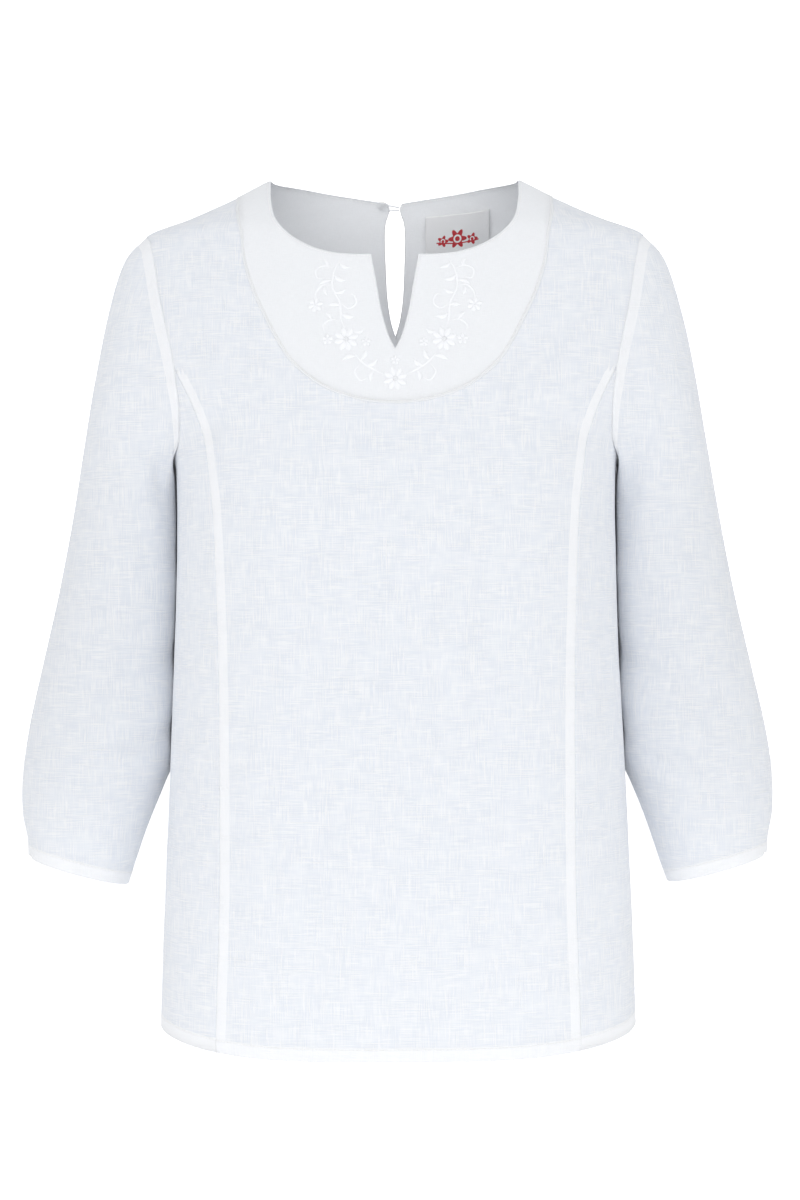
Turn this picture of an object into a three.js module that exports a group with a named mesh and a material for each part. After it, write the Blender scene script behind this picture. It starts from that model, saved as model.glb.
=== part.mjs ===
// A folk-dress blouse of white linen, filled out as it is when worn: round yoke with a front slit, princess
// seams, three-quarter sleeves with a short cuff vent, and a keyhole with button and loop at the back neck.
// Millimetres. +Z up, +Y towards the back, +X towards the wearer's left. The origin lies between the two
// points where the shoulder seams meet the neck. Every cloth piece is a thin wall on one body form.

import * as THREE from "three";

// ---------------------------------------------------------------- driving sizes

const CLOTH = 1.2; // wall of a single layer of linen
const DOUBLED = 2.0; // wall of the yokes, which are two layers, and of the turned hems
const PROUD = 0.35; // how far the yokes stand above the single cloth
const SEAM_GAP = 0.3; // between two pieces that are sewn together
const ARMHOLE_GAP = 0.5; // the same at the armhole, where the walls meet at an angle
const HEM_TURN = 10; // depth of the turned hems of body and sleeves
const HEM_FRONT = -622.3; // height of the hem's edge at centre front and centre back
const HEM_RISE = 14; // how much higher it is at the side seams
const SLEEVE_CLEAR = 2.4; // between a hanging sleeve and the side of the body
const SLEEVE_SINK = 6; // height below the underarm over which the sleeve comes clear of the body
const VENT_LENGTH = 35; // slit at the outer side of the sleeve's end
const VENT_SPLAY = 3.2; // how far its back edge stands out
const VENT_DIP = 4.2; // how far its front edge dips in
const VENT_FADE = 2; // cuts round the sleeve over which its edges bend
const VENT_GAP = 1.6; // half the width of the vent at the sleeve's edge

// The body form: one row for each level. half is half the width, front and back the depths from the side
// seams, and square the exponent of the section (2 is an ellipse).
const FORM = [
  { z: 12, half: 60, front: 30, back: 42, square: 2.2 },
  { z: 0, half: 89, front: 42, back: 52, square: 2.2 },
  { z: -13, half: 115, front: 53, back: 59, square: 2.2 },
  { z: -27.4, half: 147, front: 63, back: 66, square: 2.2 },
  { z: -40.4, half: 180, front: 70, back: 72, square: 2.25 },
  { z: -62, half: 189, front: 80, back: 81, square: 2.3 },
  { z: -100, half: 191, front: 94, back: 92, square: 2.35 },
  { z: -150, half: 183, front: 108, back: 99, square: 2.4 },
  { z: -185, half: 166, front: 116, back: 101, square: 2.45 },
  { z: -206, half: 159.6, front: 120.5, back: 101, square: 2.5 },
  { z: -230, half: 158.3, front: 123.6, back: 99.8, square: 2.5 },
  { z: -255, half: 158.3, front: 125, back: 98, square: 2.5 },
  { z: -330, half: 160, front: 123, back: 92, square: 2.5 },
  { z: -420, half: 164, front: 120, back: 92, square: 2.5 },
  { z: -520, half: 168.5, front: 121, back: 101, square: 2.5 },
  { z: -600, half: 171.5, front: 123, back: 109, square: 2.5 },
  { z: -640, half: 172.5, front: 124, back: 112, square: 2.5 },
];

// Seam lines of the wearer's left half, x across and z up, on the front or the back of the form.
const SIDE = Infinity; // across, for a place on the shoulder or side seam
const NECKLINE = [
  { x: SIDE, z: 0 },
  { x: 88.9, z: -2 },
  { x: 88.8, z: -6 },
  { x: 88.4, z: -11.8 },
  { x: 87.6, z: -20.5 },
  { x: 85.3, z: -31.3 },
  { x: 79, z: -41 },
  { x: 70, z: -48.8 },
  { x: 58, z: -55.5 },
  { x: 44, z: -59.8 },
  { x: 30, z: -61.3 },
  { x: 16.6, z: -61.5 },
];
const SLIT = [
  { x: 16.6, z: -61.5 },
  { x: 13.4, z: -79 },
  { x: 8.8, z: -105 },
  { x: 4.1, z: -121 },
  { x: 0, z: -129.5 },
];
const YOKE_EDGE = [
  { x: SIDE, z: -12.4 },
  { x: 113.9, z: -14 },
  { x: 113.6, z: -17.5 },
  { x: 113, z: -22 },
  { x: 110.5, z: -40 },
  { x: 105.7, z: -69.5 },
  { x: 99, z: -90 },
  { x: 91, z: -107 },
  { x: 82.3, z: -124 },
  { x: 71.9, z: -139.5 },
  { x: 56.3, z: -152.7 },
  { x: 40, z: -161 },
  { x: 20, z: -166.7 },
  { x: 0, z: -168.5 },
];
const BACK_NECKLINE = [
  { x: SIDE, z: 0 },
  { x: 69.7, z: -0.8 },
  { x: 40.5, z: -4.4 },
  { x: 16, z: -7.6 },
  { x: 5.2, z: -9.2 },
];
const KEYHOLE = [
  { x: 5.2, z: -9.2 },
  { x: 3.6, z: -13 },
  { x: 4.6, z: -17.5 },
  { x: 6.4, z: -22.5 },
  { x: 7.3, z: -31 },
  { x: 6.9, z: -52 },
  { x: 5.6, z: -78 },
  { x: 3.2, z: -94 },
  { x: 0, z: -105 },
];
const BACK_YOKE_EDGE = [
  { x: SIDE, z: -12.4 },
  { x: 113.8, z: -14.2 },
  { x: 113.2, z: -18.5 },
  { x: 112, z: -24 },
  { x: 107, z: -46 },
  { x: 98, z: -74 },
  { x: 83, z: -100 },
  { x: 61, z: -119 },
  { x: 31, z: -130 },
  { x: 0, z: -133 },
];
const ARMHOLE_UPPER = [
  { x: SIDE, z: -40.4 },
  { x: 178.3, z: -42.5 },
  { x: 177, z: -45 },
  { x: 175, z: -48 },
  { x: 171.5, z: -66 },
  { x: 168.3, z: -84 },
  { x: 160.3, z: -120 },
  { x: 156.5, z: -139 },
];
const ARMHOLE_LOWER = [
  { x: 156.5, z: -139 },
  { x: 153.6, z: -160 },
  { x: 153.2, z: -178 },
  { x: 155, z: -194 },
  { x: SIDE, z: -206 },
];
const ARMHOLE_BACK = [
  { x: SIDE, z: -40.4 },
  { x: 178.5, z: -43 },
  { x: 177.3, z: -46 },
  { x: 176, z: -50 },
  { x: 171, z: -82 },
  { x: 167, z: -118 },
  { x: 164, z: -150 },
  { x: 161, z: -180 },
  { x: 159.5, z: -197 },
  { x: SIDE, z: -206 },
];
const PRINCESS = [
  { x: 156.5, z: -139 },
  { x: 144, z: -164 },
  { x: 135, z: -192 },
  { x: 130, z: -220 },
  { x: 127, z: -262 },
  { x: 124.8, z: -330 },
  { x: 124, z: -420 },
  { x: 124.5, z: -520 },
  { x: 127.3, z: -608 },
];
const PRINCESS_START = 4; // the side front's top corner is cut off blunt this far down its seams
const UNDERARM = -206;
const PANEL_LENGTH = 460; // of the front and back panels, below the yoke
const HEM_ROW = 13; // a panel's points this near its hem belong to the turn

// Sleeve sections from the armhole to the wrist edge: the outermost and innermost points, half the depth
// front to back, and how far the middle lies behind the side seam.
const SLEEVE = [
  { xOut: 180, zOut: -40.4, xIn: 159, zIn: -206, depth: 62, yMid: 3 },
  { xOut: 197, zOut: -60, xIn: 160, zIn: -212, depth: 64, yMid: 7 },
  { xOut: 211, zOut: -101, xIn: 158, zIn: -222, depth: 65, yMid: 12 },
  { xOut: 220.5, zOut: -145, xIn: 156, zIn: -236, depth: 65, yMid: 17 },
  { xOut: 228, zOut: -189, xIn: 155, zIn: -256, depth: 64, yMid: 21 },
  { xOut: 237, zOut: -243, xIn: 154, zIn: -289, depth: 61, yMid: 25 },
  { xOut: 247.5, zOut: -298, xIn: 155, zIn: -329, depth: 58, yMid: 26 },
  { xOut: 259, zOut: -350, xIn: 157, zIn: -371, depth: 55, yMid: 24 },
  { xOut: 268, zOut: -395, xIn: 160, zIn: -411, depth: 52, yMid: 19 },
  { xOut: 271.5, zOut: -425, xIn: 170.5, zIn: -438, depth: 50, yMid: 14 },
  { xOut: 272, zOut: -454, xIn: 182, zIn: -468, depth: 46, yMid: 8 },
  { xOut: 268, zOut: -489, xIn: 195.5, zIn: -509, depth: 40, yMid: 0 },
];
const SLEEVE_SQUARE = 2.15;
const CAP_ROWS = 3.2; // sleeve sections over which the armhole's own shape dies away

const BUTTON = { x: -9.6, z: -12.8, across: 9, shank: 2.2, stem: 1.1, thick: 2, rim: 1.1, dish: 0.5 };
const LOOP_CORD = 1.4;
// The loop's way on the back of the form: out of the right edge of the keyhole, round the button's stem and
// back. out is how far it lies off the form.
const LOOP = [
  { x: 3.2, z: -12.0, out: -0.5 },
  { x: 0.6, z: -11.7, out: 0.4 },
  { x: -2.6, z: -11.3, out: 1.4 },
  { x: -6, z: -10.9, out: 1.5 },
  { x: -9.6, z: -10.5, out: 1.5 },
  { x: -11.5, z: -11.5, out: 1.5 },
  { x: -11.9, z: -12.8, out: 1.5 },
  { x: -11.5, z: -14.1, out: 1.5 },
  { x: -9.6, z: -15.1, out: 1.5 },
  { x: -6, z: -14.9, out: 1.5 },
  { x: -2.6, z: -14.6, out: 1.4 },
  { x: 0.6, z: -14.3, out: 0.4 },
  { x: 3.2, z: -14.1, out: -0.5 },
];
// The label hangs inside the back neck, in line with a neck edge that falls from the shoulder to middle.
const LABEL = {
  left: 23,
  right: 71,
  top: 9,
  height: 38,
  wall: 1.0,
  clear: 1.2,
  shoulder: -1.2,
  middle: -9.2,
};

// How finely the pieces are divided along their seams.
const CUTS = {
  neckline: 20,
  armholeUpper: 7,
  armholeLower: 5,
  princess: 16,
  hem: 9,
  sleeve: 15,
  yokeRows: 3,
  panelRows: 9,
  sideRows: 5,
  label: 4,
};
const HALF_CUTS = CUTS.armholeUpper + CUTS.princess + 1 + CUTS.hem;
const ARMHOLE_CUTS = CUTS.armholeUpper + CUTS.armholeLower;
const BACK_BUNCH = 1.8; // the back yoke's cuts get shorter towards the middle
const BACK_BEND_SPREAD = 8; // cuts to each side of the underarm over which the back's cells are bent
const SIDE_BUNCH = 1.35; // the side seam's cuts get shorter towards the armhole, where the form bends
const SEAM_STEPS = 240; // steps in which a seam line is measured

// ---------------------------------------------------------------- the body form

const radians = THREE.MathUtils.degToRad;

// A row of a table at a place between its rows, on a smooth curve through them. key is the column that is
// looked up, which falls from row to row, or null where place counts rows.
function rowAt(table, place, key = null) {
  const at = (i) => (key ? -table[i][key] : i);
  const wanted = key ? -place : place;
  const last = table.length - 1;
  let i = 0;
  while (i < last - 1 && at(i + 1) <= wanted) i++;
  const step = at(i + 1) - at(i);
  const t = THREE.MathUtils.clamp((wanted - at(i)) / step, 0, 1);
  const row = {};
  for (const name of Object.keys(table[i])) {
    const slope = (k) => {
      const a = Math.max(k - 1, 0);
      const b = Math.min(k + 1, last);
      return ((table[b][name] - table[a][name]) / (at(b) - at(a))) * step;
    };
    row[name] =
      (2 * t ** 3 - 3 * t ** 2 + 1) * table[i][name] +
      (t ** 3 - 2 * t ** 2 + t) * slope(i) +
      (3 * t ** 2 - 2 * t ** 3) * table[i + 1][name] +
      (t ** 3 - t ** 2) * slope(i + 1);
  }
  return row;
}

// The form's point at an angle round the body (0 centre front, 90 the wearer's left side, 180 centre back)
// and a height.
function formPoint(angle, z) {
  const { half, front, back, square } = rowAt(FORM, z, "z");
  const across = Math.sin(radians(angle));
  const along = Math.cos(radians(angle));
  const depth = along > 0 ? front : back;
  const reach = (Math.abs(across / half) ** square + Math.abs(along / depth) ** square) ** (-1 / square);
  return new THREE.Vector3(reach * across, -reach * along, z);
}

function formNormal(angle, z) {
  const round = formPoint(angle + 0.5, z).sub(formPoint(angle - 0.5, z));
  const down = formPoint(angle, z - 1).sub(formPoint(angle, z + 1));
  return down.cross(round).normalize();
}

// How far from the middle the form reaches sideways at a given depth and height.
function formReach(y, z) {
  const { half, front, back, square } = rowAt(FORM, z, "z");
  const share = Math.min(1, Math.abs(y) / (y < 0 ? front : back));
  return half * (1 - share ** square) ** (1 / square);
}

// The angle at which the form's front, or back, passes through x at height z.
function angleAt(x, z, behind) {
  if (x === SIDE) return 90;
  let low = 0;
  let high = 90;
  for (let i = 0; i < 40; i++) {
    const middle = (low + high) / 2;
    const angle = behind ? 180 - middle : middle;
    if (formPoint(angle, z).x < x) low = middle;
    else high = middle;
  }
  return behind ? 180 - low : low;
}

const hemHeight = (angle) => HEM_FRONT + HEM_RISE * Math.sin(radians(angle)) ** 6;

// ---------------------------------------------------------------- seam lines on the form

// A place on the form is {angle, z}. places() lays a seam line on the form, and divided() cuts it into count
// steps from start mm along it: of equal length, or shorter towards its end where bunch is over 1.
const places = (line, behind = false) => line.map(({ x, z }) => ({ angle: angleAt(x, z, behind), z }));

function divided(line, count, { start = 0, bunch = 1 } = {}) {
  const knots = line.map(({ angle, z }) => new THREE.Vector3(angle, z, 0));
  const curve = new THREE.CatmullRomCurve3(knots, false, "centripetal");
  const fine = curve.getPoints(SEAM_STEPS).map((v) => ({ angle: v.x, z: v.y }));
  const run = [0];
  for (let i = 1; i < fine.length; i++) {
    const a = formPoint(fine[i - 1].angle, fine[i - 1].z);
    run.push(run[i - 1] + a.distanceTo(formPoint(fine[i].angle, fine[i].z)));
  }
  const total = run[run.length - 1];
  const cut = [];
  for (let k = 0; k <= count; k++) {
    const wanted = start + (total - start) * (1 - (1 - k / count) ** bunch);
    let i = 1;
    while (i < run.length - 1 && run[i] < wanted) i++;
    const t = (wanted - run[i - 1]) / (run[i] - run[i - 1]);
    cut.push({
      angle: THREE.MathUtils.lerp(fine[i - 1].angle, fine[i].angle, t),
      z: THREE.MathUtils.lerp(fine[i - 1].z, fine[i].z, t),
    });
  }
  return cut;
}

// Lines one after the other, and the same line carried on across the centre of the front or back.
const joined = (...lines) => lines.flatMap((line, i) => (i ? line.slice(1) : line));
const otherSide = (line) => [...line].reverse().map(({ angle, z }) => ({ angle: 360 - angle, z }));
const bothSides = (line) => joined(line, otherSide(line));

function hemLine(from, to, count) {
  return Array.from({ length: count + 1 }, (_, i) => {
    const angle = from + ((to - from) * i) / count;
    return { angle, z: hemHeight(angle) };
  });
}

// A seam that runs down to the hem ends with one short cut, as deep as the turn of the hem.
const toHem = (line) => {
  const { angle } = line[line.length - 1];
  return [...line, { angle, z: hemHeight(angle) }];
};

const princessLine = places(PRINCESS);
const princess = toHem(divided(princessLine, CUTS.princess));
const armholeUpper = divided(places(ARMHOLE_UPPER), CUTS.armholeUpper);
const armholeLower = divided(places(ARMHOLE_LOWER), CUTS.armholeLower);
const armholeBack = divided(places(ARMHOLE_BACK, true), ARMHOLE_CUTS);
const yokeEdge = divided(places(YOKE_EDGE), HALF_CUTS);
const backYokeEdge = divided(places(BACK_YOKE_EDGE, true), HALF_CUTS, { bunch: BACK_BUNCH });
const SIDE_CUTS = CUTS.princess - CUTS.armholeLower;
const sideSeam = toHem(
  Array.from({ length: SIDE_CUTS + 1 }, (_, i) => ({
    angle: 90,
    z: THREE.MathUtils.lerp(UNDERARM, hemHeight(90) + HEM_TURN, (i / SIDE_CUTS) ** SIDE_BUNCH),
  })),
);

// ---------------------------------------------------------------- cloth walls

// A closed wall from a grid of places in space. Each cell has a point on the cloth, the direction out of it
// and, in a turned hem, its own depth inward; points that coincide are one, and every free edge gets a rim.
function wall(grid, outward, inward) {
  const seen = new Map();
  const cells = [];
  const idOf = (cell) => {
    const key = cell.point.toArray().map((v) => Math.round(v * 1000)).join();
    if (!seen.has(key)) {
      seen.set(key, cells.length);
      cells.push(cell);
    }
    return seen.get(key);
  };
  const ids = grid.map((row) => row.map(idOf));
  const faces = [];
  for (let i = 0; i + 1 < ids.length; i++) {
    for (let j = 0; j + 1 < ids[i].length; j++) {
      const [a, b, c, d] = [ids[i][j], ids[i][j + 1], ids[i + 1][j + 1], ids[i + 1][j]];
      const across = cells[a].point.distanceTo(cells[c].point) < cells[b].point.distanceTo(cells[d].point);
      if (across) faces.push([a, b, c], [a, c, d]);
      else faces.push([a, b, d], [b, c, d]);
    }
  }
  const cloth = faces.filter(([a, b, c]) => a !== b && b !== c && c !== a);
  const edges = new Set(cloth.flatMap(([a, b, c]) => [`${a},${b}`, `${b},${c}`, `${c},${a}`]));
  const n = cells.length;
  const index = [];
  for (const [a, b, c] of cloth) index.push(a, b, c, c + n, b + n, a + n);
  for (const edge of edges) {
    const [a, b] = edge.split(",").map(Number);
    if (!edges.has(`${b},${a}`)) index.push(b, a, a + n, b, a + n, b + n);
  }
  const outside = cells.map(({ point, normal }) => point.clone().addScaledVector(normal, outward));
  const inside = cells.map(({ point, normal, depth = inward }) =>
    point.clone().addScaledVector(normal, -depth),
  );
  return closed([...outside, ...inside], index);
}

// A geometry from points and faces, turned right side out.
function closed(points, index) {
  let volume = 0;
  for (let i = 0; i < index.length; i += 3) {
    const [a, b, c] = [points[index[i]], points[index[i + 1]], points[index[i + 2]]];
    volume += a.dot(b.clone().cross(c));
  }
  const faces = volume < 0 ? [...index].reverse() : index;
  const geometry = new THREE.BufferGeometry().setFromPoints(points).setIndex(faces);
  geometry.computeVertexNormals();
  return geometry;
}

// Draws the free edges of a grid in along the cloth by half the seam gap.
function drawnIn(grid) {
  const pulled = (cell, towards) => {
    const step = towards.point.clone().sub(cell.point).setLength(SEAM_GAP / 2);
    return { ...cell, point: cell.point.clone().add(step) };
  };
  const last = grid.length - 1;
  const side = grid[0].length - 1;
  const out = grid.map((row) => [...row]);
  for (const row of out) {
    [row[0], row[side]] = [pulled(row[0], row[1]), pulled(row[side], row[side - 1])];
  }
  for (let j = 0; j <= side; j++) {
    const [top, bottom] = [pulled(out[0][j], out[1][j]), pulled(out[last][j], out[last - 1][j])];
    [out[0][j], out[last][j]] = [top, bottom];
  }
  return out;
}

// A grid on the form between two seam lines that are divided alike, with a row at each of the shares of the
// way from one to the other. foot gives the height of the last column, where that doesn't run straight, and
// bend how much earlier a column falls than it turns, from 0 to 1.
function between(inner, outer, shares, { foot = null, bend = () => 0 } = {}) {
  return shares.map((share) =>
    inner.map((from, j) => {
      const fall = share + bend(j) * share * (1 - share);
      const angle = THREE.MathUtils.lerp(from.angle, outer[j].angle, share);
      const level = THREE.MathUtils.lerp(from.z, outer[j].z, fall);
      const z = foot && j === inner.length - 1 ? foot(angle) : level;
      const cell = { point: formPoint(angle, z), normal: formNormal(angle, z) };
      return z < hemHeight(angle) + HEM_ROW ? { ...cell, depth: DOUBLED } : cell;
    }),
  );
}

const evenShares = (rows) => Array.from({ length: rows + 1 }, (_, i) => i / rows);
// The rows of a panel that runs down to the hem, with one more where the hem's turn starts.
const panelShares = [...evenShares(CUTS.panelRows).slice(0, -1), 1 - HEM_TURN / PANEL_LENGTH, 1];

const mirrored = (grid) =>
  grid.map((row) =>
    row.map(({ point, normal, ...rest }) => ({
      point: new THREE.Vector3(-point.x, point.y, point.z),
      normal: new THREE.Vector3(-normal.x, normal.y, normal.z),
      ...rest,
    })),
  );

// ---------------------------------------------------------------- the body's panels

const single = (grid) => wall(grid, 0, CLOTH);
const doubled = (grid) => wall(grid, PROUD, DOUBLED - PROUD);

const yokeFront = () => {
  const neck = divided(places(NECKLINE), CUTS.neckline);
  const slit = divided(places(SLIT), HALF_CUTS - CUTS.neckline);
  const inner = bothSides(joined(neck, slit));
  return doubled(drawnIn(between(inner, bothSides(yokeEdge), evenShares(CUTS.yokeRows))));
};

const yokeBack = () => {
  const neck = divided(places(BACK_NECKLINE, true), HALF_CUTS - CUTS.neckline);
  const keyhole = divided(places(KEYHOLE, true), CUTS.neckline);
  const inner = bothSides(joined(neck, keyhole));
  return doubled(drawnIn(between(inner, bothSides(backYokeEdge), evenShares(CUTS.yokeRows))));
};

const frontCentre = () => {
  const hem = hemLine(princess[princess.length - 1].angle, 0, CUTS.hem);
  const outline = bothSides(joined(armholeUpper, princess, hem));
  return single(drawnIn(between(bothSides(yokeEdge), outline, panelShares)));
};

const sideFront = () => {
  const lowerLine = places(ARMHOLE_LOWER);
  const seam = [divided(princessLine, 1, { start: PRINCESS_START })[0], ...princess.slice(1)];
  const lower = [divided(lowerLine, 1, { start: PRINCESS_START })[0], ...armholeLower.slice(1)];
  const shares = evenShares(CUTS.sideRows);
  return drawnIn(between(seam, joined(lower, sideSeam), shares, { foot: hemHeight }));
};

const back = () => {
  const outline = bothSides(joined(armholeBack, sideSeam, hemLine(90, 180, CUTS.hem)));
  // The columns that end near the underarm come in level, so that none crosses the armhole.
  const bend = (j) => {
    const fromShoulder = HALF_CUTS - Math.abs(j - HALF_CUTS);
    return Math.max(0, 1 - Math.abs(fromShoulder - ARMHOLE_CUTS) / BACK_BEND_SPREAD);
  };
  return single(drawnIn(between(bothSides(backYokeEdge), outline, panelShares, { bend })));
};

// ---------------------------------------------------------------- sleeves

// The armhole as a ring of points, from the shoulder round behind, under and in front of the arm.
const armholeRing = [...armholeBack, ...[...joined(armholeUpper, armholeLower)].reverse().slice(1)];
const SLEEVE_CUTS = armholeRing.length - 1;
const SLEEVE_LENGTH = 460; // along its outer side
const TURN_SHARE = 1 - HEM_TURN / SLEEVE_LENGTH;
const VENT_SHARE = 1 - VENT_LENGTH / SLEEVE_LENGTH;

function sleeveSection(share, turn) {
  const row = rowAt(SLEEVE, share * (SLEEVE.length - 1));
  const across = Math.sin(radians(turn));
  const along = Math.cos(radians(turn));
  const square = SLEEVE_SQUARE;
  const reach = (Math.abs(across) ** square + Math.abs(along) ** square) ** (-1 / square);
  return new THREE.Vector3(
    (row.xOut + row.xIn) / 2 + ((row.xOut - row.xIn) / 2) * reach * across,
    row.yMid - row.depth * reach * along,
    (row.zOut + row.zIn) / 2 + ((row.zOut - row.zIn) / 2) * reach * across,
  );
}

// A point of the sleeve. share runs from the armhole to the wrist; step counts round from the outer side by
// way of the back. Both ends of a ring coincide, except along the vent.
function sleevePoint(share, step) {
  const open = Math.max(0, (share - VENT_SHARE) / (1 - VENT_SHARE));
  const turn = 90 + (360 * step) / SLEEVE_CUTS;
  const point = sleeveSection(share, turn);
  const fading = 1 - THREE.MathUtils.smoothstep(share * (SLEEVE.length - 1), 0, CAP_ROWS);
  if (fading > 0) {
    const seam = armholeRing[step];
    point.addScaledVector(formPoint(seam.angle, seam.z).sub(sleeveSection(0, turn)), fading);
  }
  if (open > 0) {
    const fromBack = Math.exp(-step / VENT_FADE);
    const fromFront = Math.exp(-(SLEEVE_CUTS - step) / VENT_FADE);
    point.x += open * (VENT_SPLAY * fromBack - VENT_DIP * fromFront);
    point.y += VENT_GAP * open * (fromBack - fromFront);
  }
  if (point.z < UNDERARM) {
    const sunk = Math.min(1, (UNDERARM - point.z) / SLEEVE_SINK);
    point.x = Math.max(point.x, formReach(point.y, point.z) + SLEEVE_CLEAR * sunk);
  }
  return point;
}

// Directions out of a grid of points, from the points beside each one.
function withNormals(points, roundClosed) {
  const side = points[0].length - 1;
  return points.map((row, i) =>
    row.map((point, j) => {
      const ring = roundClosed(i);
      const before = j > 0 ? row[j - 1] : ring ? row[side - 1] : row[0];
      const after = j < side ? row[j + 1] : ring ? row[1] : row[side];
      const up = points[Math.max(i - 1, 0)][j];
      const down = points[Math.min(i + 1, points.length - 1)][j];
      const normal = down.clone().sub(up).cross(after.clone().sub(before)).normalize();
      return { point, normal };
    }),
  );
}

const sleeve = () => {
  const above = evenShares(CUTS.sleeve).map((share) => VENT_SHARE * share);
  const shares = [...above, (VENT_SHARE + TURN_SHARE) / 2, TURN_SHARE, 1];
  const points = shares.map((share) =>
    Array.from({ length: SLEEVE_CUTS + 1 }, (_, step) => sleevePoint(share, step)),
  );
  const grid = withNormals(points, (i) => shares[i] <= VENT_SHARE);
  for (const row of grid.slice(-2)) {
    for (const cell of row) cell.depth = DOUBLED;
  }
  // Stand off the armhole seam, both along the sleeve and out from the panels.
  grid[0] = grid[0].map((cell, j) => {
    const { angle, z } = armholeRing[j];
    const away = grid[1][j].point.clone().sub(cell.point).setLength(ARMHOLE_GAP);
    const point = cell.point.clone().add(away).addScaledVector(formNormal(angle, z), ARMHOLE_GAP);
    return { ...cell, point };
  });
  return grid;
};

// ---------------------------------------------------------------- back neck: label, button and loop

const label = () => {
  const line = (down) =>
    Array.from({ length: CUTS.label + 1 }, (_, i) => {
      const x = THREE.MathUtils.lerp(LABEL.left, LABEL.right, i / CUTS.label);
      const neck = THREE.MathUtils.lerp(LABEL.middle, LABEL.shoulder, (x / FORM[1].half) ** 2);
      const z = neck - LABEL.top - down;
      return { angle: angleAt(x, z, true), z };
    });
  const inside = DOUBLED - PROUD + LABEL.clear;
  return wall(between(line(0), line(LABEL.height), evenShares(3)), -inside, inside + LABEL.wall);
};

// A point off the back of the form, and the direction out of it there.
function behindNeck({ x, z, out }) {
  const angle = x < 0 ? 360 - angleAt(-x, z, true) : angleAt(x, z, true);
  const normal = formNormal(angle, z);
  return { point: formPoint(angle, z).addScaledVector(normal, out), normal };
}

const button = () => {
  const { across, shank, stem, thick, rim, dish } = BUTTON;
  const r = across / 2;
  const top = shank + thick;
  const profile = [
    [0, 0],
    [stem, 0],
    [stem, shank],
    [r - rim / 2, shank],
    [r, shank + thick / 2],
    [r - rim / 4, top],
    [r - rim, top],
    [r - rim - dish, top - dish],
    [0, top - dish],
  ].map(([x, y]) => new THREE.Vector2(x, y));
  const { point, normal } = behindNeck({ ...BUTTON, out: PROUD + SEAM_GAP });
  const turn = new THREE.Quaternion().setFromUnitVectors(new THREE.Vector3(0, 1, 0), normal);
  return new THREE.LatheGeometry(profile, 20).applyQuaternion(turn).translate(...point.toArray());
};

const loop = () => {
  const section = new THREE.Shape().absarc(0, 0, LOOP_CORD / 2, 0, 2 * Math.PI);
  const extrudePath = new THREE.CatmullRomCurve3(LOOP.map((place) => behindNeck(place).point));
  return new THREE.ExtrudeGeometry(section, { extrudePath, steps: 36, curveSegments: 8 });
};

// ---------------------------------------------------------------- the blouse

const linen = { color: 0xe9ebf0, roughness: 0.86, metalness: 0 };
const batiste = { color: 0xf4f5f9, roughness: 0.8, metalness: 0 };

function piece(name, geometry, finish) {
  const mesh = new THREE.Mesh(geometry, new THREE.MeshStandardMaterial(finish));
  mesh.name = name;
  return mesh;
}

function pair(name, grid, finish, make) {
  return [piece(`${name}_left`, make(grid), finish), piece(`${name}_right`, make(mirrored(grid)), finish)];
}

const blouse = new THREE.Group();
blouse.add(
  piece("front_centre", frontCentre(), linen),
  ...pair("side_front", sideFront(), linen, single),
  piece("back", back(), linen),
  piece("yoke_front", yokeFront(), batiste),
  piece("yoke_back", yokeBack(), batiste),
  ...pair("sleeve", sleeve(), linen, single),
  piece("neck_label", label(), { color: 0xf2f0ee, roughness: 0.7, metalness: 0 }),
  piece("button_loop", loop(), batiste),
  piece("neck_button", button(), { color: 0xf6f5f2, roughness: 0.3, metalness: 0 }),
);

export default blouse;
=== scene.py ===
"""A folk-dress blouse of white linen, filled out as it is when worn."""

from math import cos, exp, inf, pi, radians, sin

import bmesh
import bpy
from mathutils import Matrix, Vector, noise


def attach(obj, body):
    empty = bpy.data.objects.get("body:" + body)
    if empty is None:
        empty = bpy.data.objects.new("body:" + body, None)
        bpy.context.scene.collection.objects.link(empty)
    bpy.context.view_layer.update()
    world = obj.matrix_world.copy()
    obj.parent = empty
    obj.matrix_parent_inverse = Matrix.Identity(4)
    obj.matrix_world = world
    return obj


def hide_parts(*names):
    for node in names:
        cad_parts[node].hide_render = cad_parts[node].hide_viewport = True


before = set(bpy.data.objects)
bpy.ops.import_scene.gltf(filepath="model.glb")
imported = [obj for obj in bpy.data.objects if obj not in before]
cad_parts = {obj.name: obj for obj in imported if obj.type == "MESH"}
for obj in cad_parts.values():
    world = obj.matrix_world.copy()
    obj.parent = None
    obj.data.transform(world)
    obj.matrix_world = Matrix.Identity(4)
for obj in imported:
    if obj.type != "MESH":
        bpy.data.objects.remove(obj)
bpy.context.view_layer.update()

scene = bpy.context.scene

# ---------------------------------------------------------------- camera, studio and light
# The blouse is seen straight on from 2.3 m with a long lens, in a bright white studio. A surround that only
# the camera sees stands behind a pale floor. Two large soft lights beside the camera model the cloth, and one
# behind shines through it.

FRAME_HEIGHT = 0.8713  # metres of the blouse's plane that the picture takes in
CAMERA_PLACE = Vector((0.0025, -2.3, -0.3042))
CAMERA_ROLL = radians(0.276)
FLOOR_LEVEL = -0.86
WHITE = (1, 1, 1, 1)

camera_lens = bpy.data.cameras.new("camera")
camera_lens.sensor_fit = "VERTICAL"
camera_lens.sensor_height = 36
camera_lens.lens = 36 * abs(CAMERA_PLACE.y) / FRAME_HEIGHT
camera = bpy.data.objects.new("camera", camera_lens)
camera.location = CAMERA_PLACE
camera.rotation_euler = (pi / 2, CAMERA_ROLL, 0)
scene.collection.objects.link(camera)
scene.camera = camera
scene.view_settings.view_transform = "Standard"

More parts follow.
